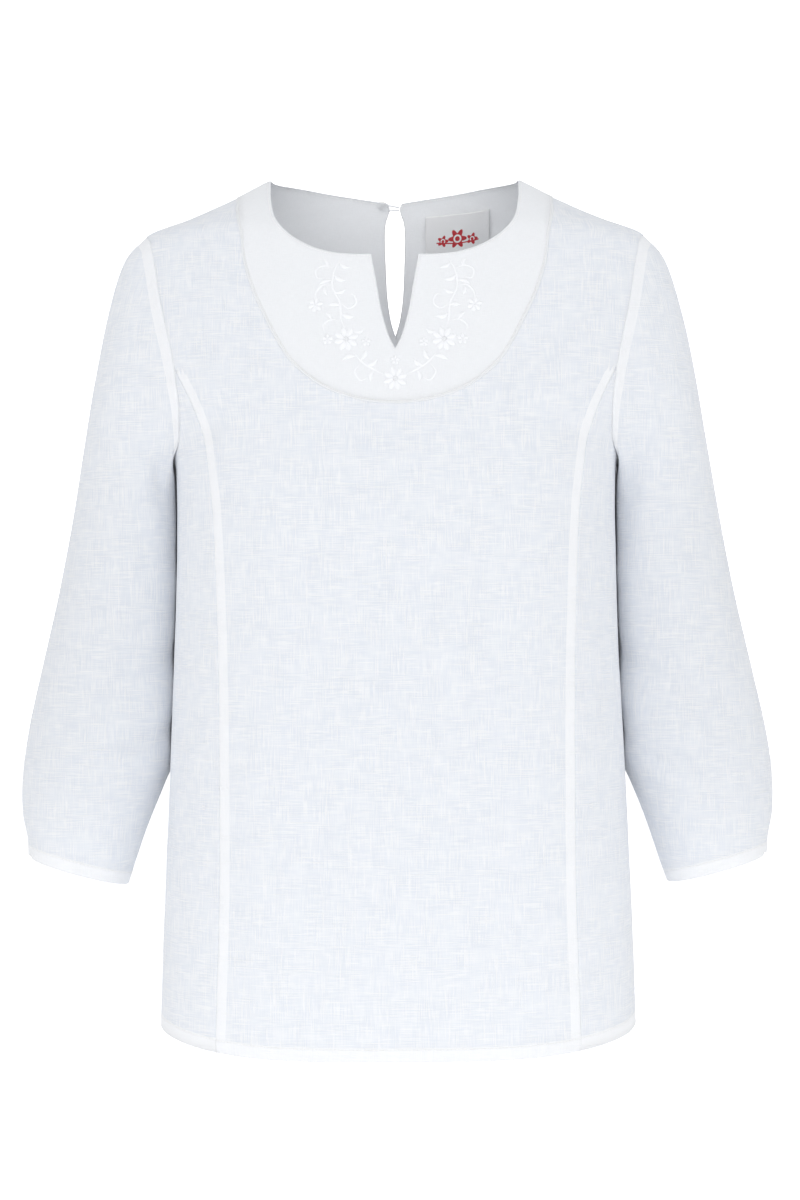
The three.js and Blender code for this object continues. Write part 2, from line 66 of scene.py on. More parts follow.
world = bpy.data.worlds.new("studio")
world.use_nodes = True
scene.world = world
sky = world.node_tree.nodes
sky["Background"].inputs["Color"].default_value = (0.975, 0.985, 1, 1)
direction, split = sky.new("ShaderNodeTexCoord"), sky.new("ShaderNodeSeparateXYZ")
dimming = sky.new("ShaderNodeMapRange")
for socket, value in (("From Min", -1), ("From Max", 1), ("To Min", 1.06), ("To Max", 0.77)):
    dimming.inputs[socket].default_value = value
world.node_tree.links.new(direction.outputs["Generated"], split.inputs["Vector"])
world.node_tree.links.new(split.outputs["Z"], dimming.inputs["Value"])
world.node_tree.links.new(dimming.outputs["Result"], sky["Background"].inputs["Strength"])


def soft_light(name, place, towards, size, power):
    lamp = bpy.data.lights.new(name, "AREA")
    lamp.shape = "DISK"
    lamp.size = size
    lamp.energy = power
    light = bpy.data.objects.new(name, lamp)
    light.location = place
    light.rotation_euler = (Vector(towards) - Vector(place)).to_track_quat("-Z", "Y").to_euler()
    scene.collection.objects.link(light)


soft_light("key", (-0.7, -2.3, 0.05), (0, 0, -0.35), 1.2, 9)
soft_light("fill", (0.8, -2.3, -0.05), (0, 0, -0.35), 1.4, 8)
soft_light("behind", (0, 2.2, 0.1), (0, 0, -0.3), 1.5, 12)


def new_piece(bm, name, *materials, smooth=True):
    """Makes an object of a bmesh that was worked out in millimetres."""
    bmesh.ops.scale(bm, verts=bm.verts, vec=(0.001, 0.001, 0.001))
    for face in bm.faces:
        face.smooth = smooth
    mesh = bpy.data.meshes.new(name)
    bm.to_mesh(mesh)
    bm.free()
    for material in materials:
        mesh.materials.append(material)
    piece = bpy.data.objects.new(name, mesh)
    scene.collection.objects.link(piece)
    return piece


studio_white = bpy.data.materials.new("studio_white")
studio_white.use_nodes = True
white_shader = studio_white.node_tree.nodes["Principled BSDF"]
white_shader.inputs["Base Color"].default_value = (0.9, 0.9, 0.9, 1)
white_shader.inputs["Roughness"].default_value = 0.9
white_shader.inputs["Emission Color"].default_value = WHITE
white_shader.inputs["Emission Strength"].default_value = 0.5
surround_white = studio_white.copy()
surround_white.name = "surround_white"
surround_white.node_tree.nodes["Principled BSDF"].inputs["Emission Strength"].default_value = 1.1

bm = bmesh.new()
bmesh.ops.create_circle(bm, cap_ends=True, segments=64, radius=9000)
bmesh.ops.translate(bm, verts=bm.verts, vec=(0, 0, FLOOR_LEVEL * 1000))
floor = new_piece(bm, "floor", studio_white, smooth=False)
bm = bmesh.new()
bmesh.ops.create_icosphere(bm, subdivisions=4, radius=9500)
bmesh.ops.reverse_faces(bm, faces=bm.faces)
surround = new_piece(bm, "surround", surround_white)
for stage_piece in (floor, surround):
    stage_piece.visible_diffuse = stage_piece.visible_glossy = stage_piece.visible_shadow = False

# ---------------------------------------------------------------- front centre panel
# The middle of the front is one piece of slubby white linen from the yoke to the hem, with no dart: the
# princess seams at its sides shape the bust. Its seam allowances lie under it and its hem is turned up twice.

# The body that the blouse is filled out over, in millimetres: height, half the width, depths in front of and
# behind the side seams, and the exponent of the section.
FORM = [
    (12, 60, 30, 42, 2.2),
    (0, 89, 42, 52, 2.2),
    (-13, 115, 53, 59, 2.2),
    (-27.4, 147, 63, 66, 2.2),
    (-40.4, 180, 70, 72, 2.25),
    (-62, 189, 80, 81, 2.3),
    (-100, 191, 94, 92, 2.35),
    (-150, 183, 108, 99, 2.4),
    (-185, 166, 116, 101, 2.45),
    (-206, 159.6, 120.5, 101, 2.5),
    (-230, 158.3, 123.6, 99.8, 2.5),
    (-255, 158.3, 125, 98, 2.5),
    (-330, 160, 123, 92, 2.5),
    (-420, 164, 120, 92, 2.5),
    (-520, 168.5, 121, 101, 2.5),
    (-600, 171.5, 123, 109, 2.5),
    (-640, 172.5, 124, 112, 2.5),
]
SIDE = inf  # across, for a place on the shoulder or side seam
HEM_FRONT, HEM_RISE, HEM_TURN = -622.3, 14, 10
UNDERARM = -206
YOKE_EDGE = [
    (SIDE, -12.4), (113.9, -14), (113.6, -17.5), (113, -22), (110.5, -40), (105.7, -69.5), (99, -90),
    (91, -107), (82.3, -124), (71.9, -139.5), (56.3, -152.7), (40, -161), (20, -166.7), (0, -168.5),
]
ARMHOLE_UPPER = [
    (SIDE, -40.4), (178.3, -42.5), (177, -45), (175, -48), (171.5, -66), (168.3, -84), (160.3, -120),
    (156.5, -139),
]
PRINCESS = [
    (156.5, -139), (144, -164), (135, -192), (130, -220), (127, -262), (124.8, -330), (124, -420),
    (124.5, -520), (127.3, -608),
]
# How finely the panels are divided along their seams, as counts of cells.
NECK_CELLS, SLIT_CELLS = 80, 52
UPPER_CELLS, LOWER_CELLS, PRINCESS_CELLS, HEM_CELLS = 28, 20, 68, 36
YOKE_CELLS = UPPER_CELLS + PRINCESS_CELLS + HEM_CELLS
PANEL_ROWS = 104
EDGE_ROWS = (0, 0.7, 1.6, 3.2)  # how far from a seam the first rows lie
YOKE_TUCK = (-4, -2.6, -1.2, 0.4)  # the same where a panel runs on under the yoke
SEAM_REACH = 0.9  # over which cloth rolls in at a seam
SEAM_DIP = 0.45
LINEN_THICK = 0.55
# Thin white cloth lets light through: it scatters inside a layer, over several times its thickness.
SEE_THROUGH = {"Subsurface_Weight": 0.42, "Subsurface_Radius": (1, 1, 1), "Subsurface_Scale": 0.003}
LINEN_DEEP, LINEN, LINEN_LAYERED = (0.745, 0.778, 0.838), (0.865, 0.878, 0.9), (0.935, 0.94, 0.955)
LAYERED_COVER = 0.88  # how much the tone of layered cloth hides the threads' own
FAR_FROM_SEAM = 60  # stands for the distance to a side seam, above the underarm
FOLD_REACH = 2.5  # how many half widths from its line a fold has died out


def smooth_row(rows, place):
    """The values of a table at a place between its rows, whose first column is the place."""
    i = 0
    while i < len(rows) - 2 and rows[i + 1][0] <= place:
        i += 1
    here, there = rows[i], rows[i + 1]
    before, after = rows[max(i - 1, 0)], rows[min(i + 2, len(rows) - 1)]
    step = there[0] - here[0]
    t = min(max((place - here[0]) / step, 0), 1)
    values = []
    for k in range(1, len(here)):
        leaving = (there[k] - before[k]) / (there[0] - before[0]) * step
        arriving = (after[k] - here[k]) / (after[0] - here[0]) * step
        values.append(
            (2 * t**3 - 3 * t**2 + 1) * here[k] + (t**3 - 2 * t**2 + t) * leaving
            + (3 * t**2 - 2 * t**3) * there[k] + (t**3 - t**2) * arriving
        )
    return values


form_rows = [(-row[0], *row[1:]) for row in FORM]


def form_point(angle, z):
    """The body at an angle round it, 0 at centre front and 90 at the wearer's left side."""
    half, front, back, square = smooth_row(form_rows, -z)
    across, along = sin(radians(angle)), cos(radians(angle))
    depth = front if along > 0 else back
    reach = (abs(across / half) ** square + abs(along / depth) ** square) ** (-1 / square)
    return Vector((reach * across, -reach * along, z))


def form_normal(angle, z):
    round_body = form_point(angle + 0.5, z) - form_point(angle - 0.5, z)
    down = form_point(angle, z - 1) - form_point(angle, z + 1)
    return down.cross(round_body).normalized()


def angle_at(x, z, behind=False):
    """The angle at which the body's front, or back, passes through x."""
    if x == SIDE:
        return 90
    low, high = 0, 90
    for _ in range(30):
        middle = (low + high) / 2
        if form_point(180 - middle if behind else middle, z).x < x:
            low = middle
        else:
            high = middle
    return 180 - low if behind else low


def hem_height(angle):
    return HEM_FRONT + HEM_RISE * sin(radians(angle)) ** 6


def seam(line, cells, behind=False, bunch=1):
    """A seam line laid on the body and cut into cells, which get shorter towards its end by bunch."""
    places = [(angle_at(x, z, behind), z) for x, z in line]
    rows = [(0, *places[0])]
    for (a, za), (b, zb) in zip(places, places[1:]):
        rows.append((rows[-1][0] + (form_point(b, zb) - form_point(a, za)).length, b, zb))
    length = rows[-1][0]
    shares = (1 - (1 - k / cells) ** bunch for k in range(cells + 1))
    return [tuple(smooth_row(rows, share * length)) for share in shares]


def joined(*lines):
    whole = list(lines[0])
    for line in lines[1:]:
        whole += line[1:]
    return whole


def both_sides(line):
    return joined(line, [(360 - angle, z) for angle, z in reversed(line)])


def hem(start, end, cells):
    angles = (start + (end - start) * k / cells for k in range(cells + 1))
    return [(angle, hem_height(angle)) for angle in angles]


# The cloth's own threads: how far a place is round the body from centre front, and down from the underarms.
GRAIN_STEP_Z, GRAIN_STEP_ANGLE = 12, 3
UNDERARM_RING = 18
grain_levels = [12 - GRAIN_STEP_Z * k for k in range(56)]
grain = []
for level in grain_levels:
    ring = [form_point(GRAIN_STEP_ANGLE * k, level) for k in range(61)]
    round_body, down = [0], [0] * 61
    for a, b in zip(ring, ring[1:]):
        round_body.append(round_body[-1] + (b - a).length)
    if grain:
        down = [grain[-1][2][k] + (ring[k] - grain[-1][0][k]).length for k in range(61)]
    grain.append((ring, round_body, down))
underarm = grain[UNDERARM_RING][2]
grain = [(ring, across, [d - level for d, level in zip(down, underarm)]) for ring, across, down in grain]
half_girths = [(down[-1], across[-1]) for _, across, down in grain]
CALM_REACH = 30  # over which the cloth evens out towards centre back, where its two halves meet


def threads(angle, z):
    """Where a place on the body lies in the cloth, in millimetres across and down."""
    side = -1 if angle > 180 else 1
    i = min(max((grain_levels[0] - z) / GRAIN_STEP_Z, 0), len(grain) - 1.001)
    j = min((360 - angle if angle > 180 else abs(angle)) / GRAIN_STEP_ANGLE, 59.999)
    si, sj, i, j = i % 1, j % 1, int(i), int(j)

    def between_rings(measure):
        upper, lower = ((1 - sj) * grain[k][measure][j] + sj * grain[k][measure][j + 1] for k in (i, i + 1))
        return (1 - si) * upper + si * lower

    return side * between_rings(1), between_rings(2)


# Soft folds of the body, as lines on its front or back: both ends across and up, half the width, and how far
# the cloth stands out (or in) along the line. They are given for the wearer's left half, and the right half's
# differ a little.
FRONT_FOLDS = [
    (122, -92, 84, -160, 15, -1.6),
    (140, -110, 100, -175, 12, 1.2),
    (145, -196, 92, -176, 12, -1.5),
    (140, -214, 76, -204, 14, 1.1),
    (60, -185, 52, -330, 24, -1.3),
    (88, -250, 96, -600, 22, 1.5),
    (62, -300, 56, -610, 18, -1.5),
    (28, -240, 24, -600, 20, 1.2),
    (148, -250, 146, -600, 14, -1.0),
]
BACK_FOLDS = [
    (150, -130, 80, -165, 18, -1.8),
    (148, -205, 100, -240, 16, 1.5),
    (110, -200, 92, -590, 26, -2.2),
    (70, -250, 74, -600, 22, 1.8),
    (34, -170, 38, -600, 24, -1.6),
]


def fold_lines(folds, behind):
    lines = []
    for side in (1, -1):
        for k, (x0, z0, x1, z1, width, height) in enumerate(folds):
            shift = 0 if side > 0 else 5 * sin(3.1 * k + 1)
            ends = []
            for x, z in ((x0, z0), (x1, z1 + shift)):
                across, down = threads(angle_at(x + shift / 2, z, behind), z)
                ends.append(Vector((side * across, down)))
            lines.append((*ends, width, height * (1 if side > 0 else 0.85)))
    return lines


folds = fold_lines(FRONT_FOLDS, False) + fold_lines(BACK_FOLDS, True)


def fold_lift(from_start, line, width, height, ends):
    """How far a fold lifts a place, given from its start. ends is how far it has risen at its own ends."""
    along = min(max(from_start.dot(line) / line.length_squared, 0), 1)
    away = (from_start - line * along).length / width
    if away >= FOLD_REACH:
        return 0
    return height * exp(-away * away) * sin(pi * (ends + (1 - 2 * ends) * along))


def body_fall(across, down):
    """How far the body's cloth stands off the form, by its folds and its own unevenness."""
    here = Vector((across, down))
    lift = 0
    for start, end, width, height in folds:
        lift += fold_lift(here - start, end - start, width, height, 0.12)
    from_back = smooth_row(half_girths, down)[0] - abs(across)
    uneven = 0.55 * noise.noise(Vector((across / 46, down / 95, 0)))
    uneven += 0.22 * noise.noise(Vector((across / 17, down / 30, 4)))
    return lift + uneven * min(1, max(0, from_back) / CALM_REACH)


def between(inner, outer, row, rows, column, first=EDGE_ROWS, bend=0, foot=None):
    """The place in a panel between two seams that are cut alike: its angle and height, and how far it is
    from each seam. first says how far from the inner seam its first rows lie."""
    (a, za), (b, zb) = inner[column], outer[column]
    length = max((form_point(b, zb) - form_point(a, za)).length, 0.5)
    squeeze = min(1, length / (4 * EDGE_ROWS[-1]))
    last = len(EDGE_ROWS) - 1
    if row <= last:
        run = first[row] * squeeze
    elif row >= rows - last:
        run = length - EDGE_ROWS[rows - row] * squeeze
    else:
        start, end = first[last] * squeeze, length - EDGE_ROWS[last] * squeeze
        run = start + (end - start) * (row - last) / (rows - 2 * last)
    share = run / length
    angle = a + (b - a) * share
    z = za + (zb - za) * (share + bend * share * (1 - share))
    if foot and column == len(inner) - 1:
        z = foot(angle)
    return angle, z, run, length - run


def seam_roll(*distances):
    """How far cloth dips at its seams, from its distances to them."""
    return -SEAM_DIP * sum(exp(-((distance / SEAM_REACH) ** 2)) for distance in distances)


def cloth(name, columns, rows, place, material, thick=LINEN_THICK, core=lambda z: 0):
    """A sheet of cloth on a grid. place gives each cell's point, where it lies in the cloth, its distances to
    seam and hem, and how far it stands out. core is the middle of what it wraps, for each height."""
    bm = bmesh.new()
    weave, edges = (bm.loops.layers.uv.new(layer) for layer in ("weave", "edges"))
    lift = bm.verts.layers.float.new("lift")
    bmesh.ops.create_grid(bm, x_segments=columns, y_segments=rows, size=1)
    maps = {}
    for vert in bm.verts:
        column = round((vert.co.x + 1) / 2 * columns)
        row = round((1 - vert.co.y) / 2 * rows)
        vert.co, across_down, from_edges, vert[lift] = place(column, row)
        maps[vert] = (across_down, from_edges)
    for face in bm.faces:
        for loop in face.loops:
            loop[weave].uv, loop[edges].uv = maps[loop.vert]
    bmesh.ops.remove_doubles(bm, verts=bm.verts, dist=0.004)
    bmesh.ops.dissolve_degenerate(bm, dist=0.002, edges=bm.edges)
    bm.normal_update()
    outward = 0
    for face in bm.faces:
        middle = face.calc_center_median()
        outward += face.normal.dot(Vector((middle.x - core(middle.z), middle.y, 0))) * face.calc_area()
    if outward < 0:
        bmesh.ops.reverse_faces(bm, faces=bm.faces)
        bm.normal_update()
    normals = {vert: vert.normal.copy() for vert in bm.verts}
    for vert, normal in normals.items():
        vert.co += normal * vert[lift]
    bm.verts.layers.float.remove(lift)
    piece = new_piece(bm, name, material)
    wall = piece.modifiers.new("thickness", "SOLIDIFY")
    wall.thickness = thick / 1000
    wall.offset = -1
    return piece


class Field:
    """A number that varies over a piece. Arithmetic on it adds the Math nodes."""

    def __init__(self, finish, socket):
        self.finish, self.socket = finish, socket

    def math(self, operation, *values):
        return self.finish.node("ShaderNodeMath", {"operation": operation}, dict(enumerate(values)))

    def __add__(self, other):
        return self.math("ADD", self, other)

    def __sub__(self, other):
        return self.math("SUBTRACT", self, other)

    def __rsub__(self, other):
        return self.math("SUBTRACT", other, self)

    def __mul__(self, other):
        return self.math("MULTIPLY", self, other)

    def __truediv__(self, other):
        return self.math("DIVIDE", self, other)

    def __mod__(self, other):
        return self.math("FLOORED_MODULO", self, other)

    def __abs__(self):
        return self.math("ABSOLUTE", self)

    __radd__, __rmul__ = __add__, __mul__


class Finish:
    """A material: constants go straight to its shader, and what varies is built from nodes."""

    def __init__(self, name, **constants):
        self.material = bpy.data.materials.new(name)
        self.material.use_nodes = True
        self.tree = self.material.node_tree
        self.shader = self.tree.nodes["Principled BSDF"]
        for socket, value in constants.items():
            self.shader.inputs[socket.replace("_", " ")].default_value = value

    def node(self, kind, settings=None, sockets=None, output=0):
        node = self.tree.nodes.new(kind)
        for setting, value in (settings or {}).items():
            setattr(node, setting, value)
        for socket, value in (sockets or {}).items():
            self.set(node.inputs[socket], value)
        return Field(self, node.outputs[output])

    def set(self, socket, value):
        if isinstance(value, Field):
            self.tree.links.new(value.socket, socket)
        else:
            socket.default_value = value

    def feed(self, **sockets):
        for socket, value in sockets.items():
            self.set(self.shader.inputs[socket.replace("_", " ")], value)

    def map(self, name):
        """Across and down in one of the piece's maps, in millimetres."""
        place = self.node("ShaderNodeUVMap", {"uv_map": name})
        return [self.node("ShaderNodeSeparateXYZ", {}, {"Vector": place}, output) for output in (0, 1)]

    def clouds(self, x, y, z=0, detail=2):
        place = self.node("ShaderNodeCombineXYZ", {}, {0: x, 1: y, 2: z})
        return self.node("ShaderNodeTexNoise", {}, {"Vector": place, "Scale": 1, "Detail": detail})

    def fade(self, value, start, end):
        """0 where value is at start, and 1 where it is at end."""
        sockets = {"Value": value, "From Min": start, "From Max": end}
        return self.node("ShaderNodeMapRange", {"interpolation_type": "SMOOTHSTEP"}, sockets)

    def blend(self, share, first, second):
        return self.node("ShaderNodeMix", {"data_type": "RGBA"}, {0: share, 6: first, 7: second}, 2)

    def bump(self, height, millimetres, strength=1):
        sockets = {"Height": height, "Distance": millimetres / 1000, "Strength": strength}
        return self.node("ShaderNodeBump", {}, sockets)


def stitch_row(finish, distance, along, at, length=2.6, thick=0.55):
    """1 on the stitches of a row that runs at a distance from an edge, and 0 beside them."""
    on_row = finish.fade(abs(distance - at), thick * 0.7, thick * 0.35)
    on_stitch = finish.fade(abs(along % length - length / 2), length * 0.46, length * 0.34)
    return on_row * on_stitch


def linen(name, seam_side):
    """Slubby plain-woven linen. seam_side is how wide the band is that lies over a seam's allowance."""
    finish = Finish(
        name, Roughness=0.88, Sheen_Weight=0.12, Sheen_Roughness=0.6, Specular_IOR_Level=0.25, **SEE_THROUGH
    )
    across, down = finish.map("weave")
    from_seam, from_hem = finish.map("edges")
    warp = finish.clouds(across / 0.8, down / 17)
    weft = finish.clouds(across / 17, down / 0.8, 7)
    warp_shows = finish.fade(finish.clouds(across / 15, down / 22, 3, 1), 0.42, 0.6)
    weft_shows = finish.fade(finish.clouds(across / 22, down / 15, 5, 1), 0.42, 0.6)
    slubs = finish.fade(finish.clouds(across / 1.5, down / 26, 11, 1), 0.6, 0.74)
    slubs = slubs + finish.fade(finish.clouds(across / 26, down / 1.5, 13, 1), 0.6, 0.74)
    cloth_height = (warp - 0.5) * (0.5 + warp_shows) + (weft - 0.5) * (0.5 + weft_shows) + slubs * 0.35
    mottle = finish.clouds(across / 9, down / 9, 17, 1) - 0.5
    turned = finish.fade(from_hem, HEM_TURN + 0.35, HEM_TURN - 0.35)
    pucker = finish.clouds(across / 30, down / 5.5, 2) * finish.fade(from_seam, 8, 0.5)
    hem_pucker = finish.clouds(across / 5.5, down / 30, 2) * finish.fade(abs(from_hem - HEM_TURN), 5, 0.5)
    stitches = stitch_row(finish, from_hem, across, HEM_TURN - 1.2)
    layered = turned
    if seam_side:
        layered = finish.node(
            "ShaderNodeMath", {"operation": "MAXIMUM"},
            {0: turned, 1: finish.fade(from_seam, seam_side + 0.35, seam_side - 0.35)},
        )
        step = finish.clouds(across / 2.4, down / 14, 9) * 0.3
        layered = layered * (1 - step)
    tone = finish.fade(cloth_height + mottle * 0.5, -0.3, 0.42)
    covered = layered * LAYERED_COVER
    woven = finish.blend(tone, (*LINEN_DEEP, 1), (*LINEN, 1))
    shade = finish.blend(covered, woven, (*LINEN_LAYERED, 1))
    finish.feed(
        Base_Color=finish.blend(stitches, shade, WHITE),
        Normal=finish.bump(
            cloth_height * 0.3 + turned * 0.25 + pucker * 0.9 + hem_pucker * 0.9 + stitches * 0.35, 1, 0.8
        ),
    )
    return finish.material


panel_linen = linen("panel_linen", seam_side=8.5)
yoke_edge = seam(YOKE_EDGE, YOKE_CELLS)
armhole_upper = seam(ARMHOLE_UPPER, UPPER_CELLS)
princess = seam(PRINCESS, PRINCESS_CELLS - 1)
princess.append((princess[-1][0], hem_height(princess[-1][0])))
princess_height = [(-z, angle) for angle, z in princess]
front_inner = both_sides(yoke_edge)
front_outer = both_sides(joined(armhole_upper, princess, hem(princess[-1][0], 0, HEM_CELLS)))


def seam_distance(angle, z, line):
    """How far a place is round the body from a seam that runs down it."""
    across = threads(angle, z)[0]
    at = smooth_row(line, -z)[0]
    return abs(abs(across) - threads(at, z)[0])


def front_cell(column, row):
    angle, z, _, from_outline = between(front_inner, front_outer, row, PANEL_ROWS, column, YOKE_TUCK)
    across, down = threads(angle, z)
    from_seam = seam_distance(angle, z, princess_height) if z < princess[0][1] else FAR_FROM_SEAM
    lift = body_fall(across, down) + seam_roll(from_outline)
    return form_point(angle, z), (across, down), (from_seam, z - hem_height(angle)), lift


front_centre = cloth("front_centre_cloth", 2 * YOKE_CELLS, PANEL_ROWS, front_cell, panel_linen)
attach(front_centre, "root")
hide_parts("front_centre")

# ---------------------------------------------------------------- side fronts
# A narrow piece of the same linen between princess seam, armhole and side seam, one on each side. It is sewn
# to the centre with its allowance turned under the centre piece, so it is a single layer all over.

ARMHOLE_LOWER = [(156.5, -139), (153.6, -160), (153.2, -178), (155, -194), (SIDE, -206)]
SIDE_ROWS = 24
SIDE_SEAM_CELLS = PRINCESS_CELLS - LOWER_CELLS

side_linen = linen("side_linen", seam_side=0)
armhole_lower = seam(ARMHOLE_LOWER, LOWER_CELLS)
side_drop = hem_height(90) - UNDERARM
side_seam = [(90, UNDERARM + side_drop * (k / SIDE_SEAM_CELLS) ** 1.3) for k in range(SIDE_SEAM_CELLS + 1)]
side_outer = joined(armhole_lower, side_seam)


def side_cell(sign):
    def cell(column, row):
        angle, z, from_princess, from_side = between(
            princess, side_outer, row, SIDE_ROWS, column, foot=hem_height
        )
        across, down = threads(angle, z)
        lift = body_fall(sign * across, down) + seam_roll(from_princess, from_side)
        point = form_point(angle, z)
        point.x *= sign
        return point, (sign * across, down), (min(from_princess, from_side), z - hem_height(angle)), lift

    return cell


for side, sign in (("left", 1), ("right", -1)):
    name = f"side_front_{side}"
    side_front = cloth(f"{name}_cloth", PRINCESS_CELLS, SIDE_ROWS, side_cell(sign), side_linen)
    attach(side_front, "root")
    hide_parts(name)

# ---------------------------------------------------------------- back
# The back is one wide piece of linen from the yoke to the hem, falling straight from the shoulder blades.

ARMHOLE_BACK = [
    (SIDE, -40.4), (178.5, -43), (177.3, -46), (176, -50), (171, -82), (167, -118), (164, -150), (161, -180),
    (159.5, -197), (SIDE, -206),
]
BACK_YOKE_EDGE = [
    (SIDE, -12.4), (113.8, -14.2), (113.2, -18.5), (112, -24), (107, -46), (98, -74), (83, -100), (61, -119),
    (31, -130), (0, -133),
]
BACK_BEND_SPREAD = 32  # cells to each side of the underarm over which the rows come in level

back_yoke_edge = seam(BACK_YOKE_EDGE, YOKE_CELLS, behind=True, bunch=1.8)
armhole_back = seam(ARMHOLE_BACK, UPPER_CELLS + LOWER_CELLS, behind=True)
back_inner = both_sides(back_yoke_edge)
back_outer = both_sides(joined(armhole_back, side_seam, hem(90, 180, HEM_CELLS)))


def back_threads(angle, z):
    """The same as threads, but measured across from centre back."""
    across, down = threads(angle, z)
    middle = threads(180, z)[0]
    return across - (middle if across > 0 else -middle), down


def back_cell(column, row):
    from_shoulder = YOKE_CELLS - abs(column - YOKE_CELLS)
    bend = max(0, 1 - abs(from_shoulder - UPPER_CELLS - LOWER_CELLS) / BACK_BEND_SPREAD)
    angle, z, _, from_outline = between(back_inner, back_outer, row, PANEL_ROWS, column, YOKE_TUCK, bend)
    across, down = threads(angle, z)
    from_seam = abs(abs(across) - threads(90, z)[0]) if z < UNDERARM else FAR_FROM_SEAM
    lift = body_fall(across, down) + seam_roll(from_outline)
    return form_point(angle, z), back_threads(angle, z), (from_seam, z - hem_height(angle)), lift


back = cloth("back_cloth", 2 * YOKE_CELLS, PANEL_ROWS, back_cell, panel_linen)
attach(back, "root")
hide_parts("back")

# ---------------------------------------------------------------- yokes
# Two layers of fine dense cotton, sewn edge to edge at neck and slit and turned, so that no binding shows.
# The lower edges lie over the panels and are stitched down close to the fold.

NECKLINE = [
    (SIDE, 0), (88.9, -2), (88.8, -6), (88.4, -11.8), (87.6, -20.5), (85.3, -31.3), (79, -41), (70, -48.8),
    (58, -55.5), (44, -59.8), (30, -61.3), (16.6, -61.5),
]
SLIT = [(16.6, -61.5), (13.4, -79), (8.8, -105), (4.1, -121), (0, -129.5)]
BACK_NECKLINE = [(SIDE, 0), (69.7, -0.8), (40.5, -4.4), (16, -7.6), (5.2, -9.2)]
KEYHOLE = [
    (5.2, -9.2), (3.6, -13), (4.6, -17.5), (6.4, -22.5), (7.3, -31), (6.9, -52), (5.6, -78), (3.2, -94),
    (0, -105),
]
YOKE_ROWS = 34
YOKE_PROUD = 0.6
YOKE_THICK = 0.5
COTTON = (0.885, 0.898, 0.918, 1)


def fine_cotton():
    finish = Finish(
        "yoke_cotton",
        Roughness=0.82, Sheen_Weight=0.1, Sheen_Roughness=0.5, Specular_IOR_Level=0.3, **SEE_THROUGH,
    )
    across, down = finish.map("weave")
    from_panel, from_neck = finish.map("edges")
    weave = finish.clouds(across / 0.5, down / 5) + finish.clouds(across / 5, down / 0.5, 6)
    pucker = finish.clouds(across / 4.5, down / 4.5, 3) * (
        finish.fade(from_panel, 6, 0.5) + finish.fade(from_neck, 6, 0.5)
    )
    stitches = stitch_row(finish, from_panel, across + down, 1.7, 2.2, 0.45)
    stitches = stitches + stitch_row(finish, from_neck, across + down, 2.2, 2.2, 0.45)
    shade = finish.blend(finish.fade(weave, 0.7, 1.3), tuple(0.965 * c for c in COTTON[:3]) + (1,), COTTON)
    finish.feed(
        Base_Color=finish.blend(stitches, shade, WHITE),
        Normal=finish.bump(weave * 0.14 + pucker * 0.5 + stitches * 0.3, 1, 0.7),
    )
    return finish.material


yoke_cotton = fine_cotton()
neckline, slit = seam(NECKLINE, NECK_CELLS), seam(SLIT, SLIT_CELLS)
back_neckline, keyhole = seam(BACK_NECKLINE, SLIT_CELLS, True), seam(KEYHOLE, NECK_CELLS, True)


def yoke_cell(inner, outer, yoke_threads):
    def cell(column, row):
        angle, z, from_neck, from_panel = between(inner, outer, row, YOKE_ROWS, column)
        lift = YOKE_PROUD + body_fall(*threads(angle, z)) + seam_roll(from_neck)
        return form_point(angle, z), yoke_threads(angle, z), (from_panel, from_neck), lift

    return cell


for name, inner, outer, yoke_threads, flat, area in (
    ("yoke_front", joined(neckline, slit), yoke_edge, threads, (0.31, 0.19), 0.027),
    ("yoke_back", joined(back_neckline, keyhole), back_yoke_edge, back_threads, (0.31, 0.16), 0.031),
):
    cell = yoke_cell(both_sides(inner), both_sides(outer), yoke_threads)
    yoke = cloth(f"{name}_cloth", 2 * YOKE_CELLS, YOKE_ROWS, cell, yoke_cotton, YOKE_THICK)
    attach(yoke, "root")
    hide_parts(name)

# ---------------------------------------------------------------- embroidery
# White satin stitch on the front yoke: a spray of alpine flowers on each side of the slit that meet in a
# blossom below it. Every stem, leaf and petal is a low pad of threads that lie side by side across it.

SATIN_HEIGHT = 0.8
SATIN_SINK = 0.05  # how deep a pad's foot lies in the cloth
STEM_WIDTH = 1.9
# Stems and tendrils of the wearer's left spray, across and up from centre front.
STEMS = [
    [(37, -64), (42, -73), (43.5, -85), (38.5, -97), (37.5, -108), (35, -116)],
    [(42, -73), (49, -70), (55, -73), (54, -79), (49, -79)],
    [(43.5, -85), (50, -84), (55, -89), (56, -94)],
    [(38.5, -97), (32, -101), (27, -97), (29, -91), (33, -92)],
    [(30, -131), (23, -139), (14, -145), (6, -149)],
    [(23, -139), (28, -146), (24, -152), (19, -150)],
    [(38, -110), (45, -109), (50, -113), (49, -118)],
]
# Leaves: foot, tip, and the width at the middle.
LEAVES = [
    (39, -68, 31, -72, 3.8), (43, -77, 34, -81, 4.4), (44, -81, 53, -84, 3.6), (42, -90, 34, -87, 3.6),
    (38, -99, 46, -99, 4.2), (37, -105, 28, -107, 4.4), (47, -71, 50, -65, 3.4), (49, -85, 47, -92, 3.4),
    (27, -135, 37, -138, 4.2), (20, -142, 12, -137, 4.0), (15, -145, 17, -153, 3.6),
    (24, -138, 20, -130, 3.8), (44, -109, 49, -104, 3.4), (29, -118, 21, -116, 3.6),
]
# Blossoms: place, radius, number of petals and their width.
BLOSSOMS = [
    (34, -123, 8.6, 8, 4.6), (55.5, -98.5, 5.4, 6, 3.8), (47, -123, 4.0, 5, 3.2), (20, -125, 3.4, 5, 2.8),
]
MIDDLE_BLOSSOMS = [(0, -151, 8.4, 8, 4.4), (0, -138, 3.4, 5, 2.8)]


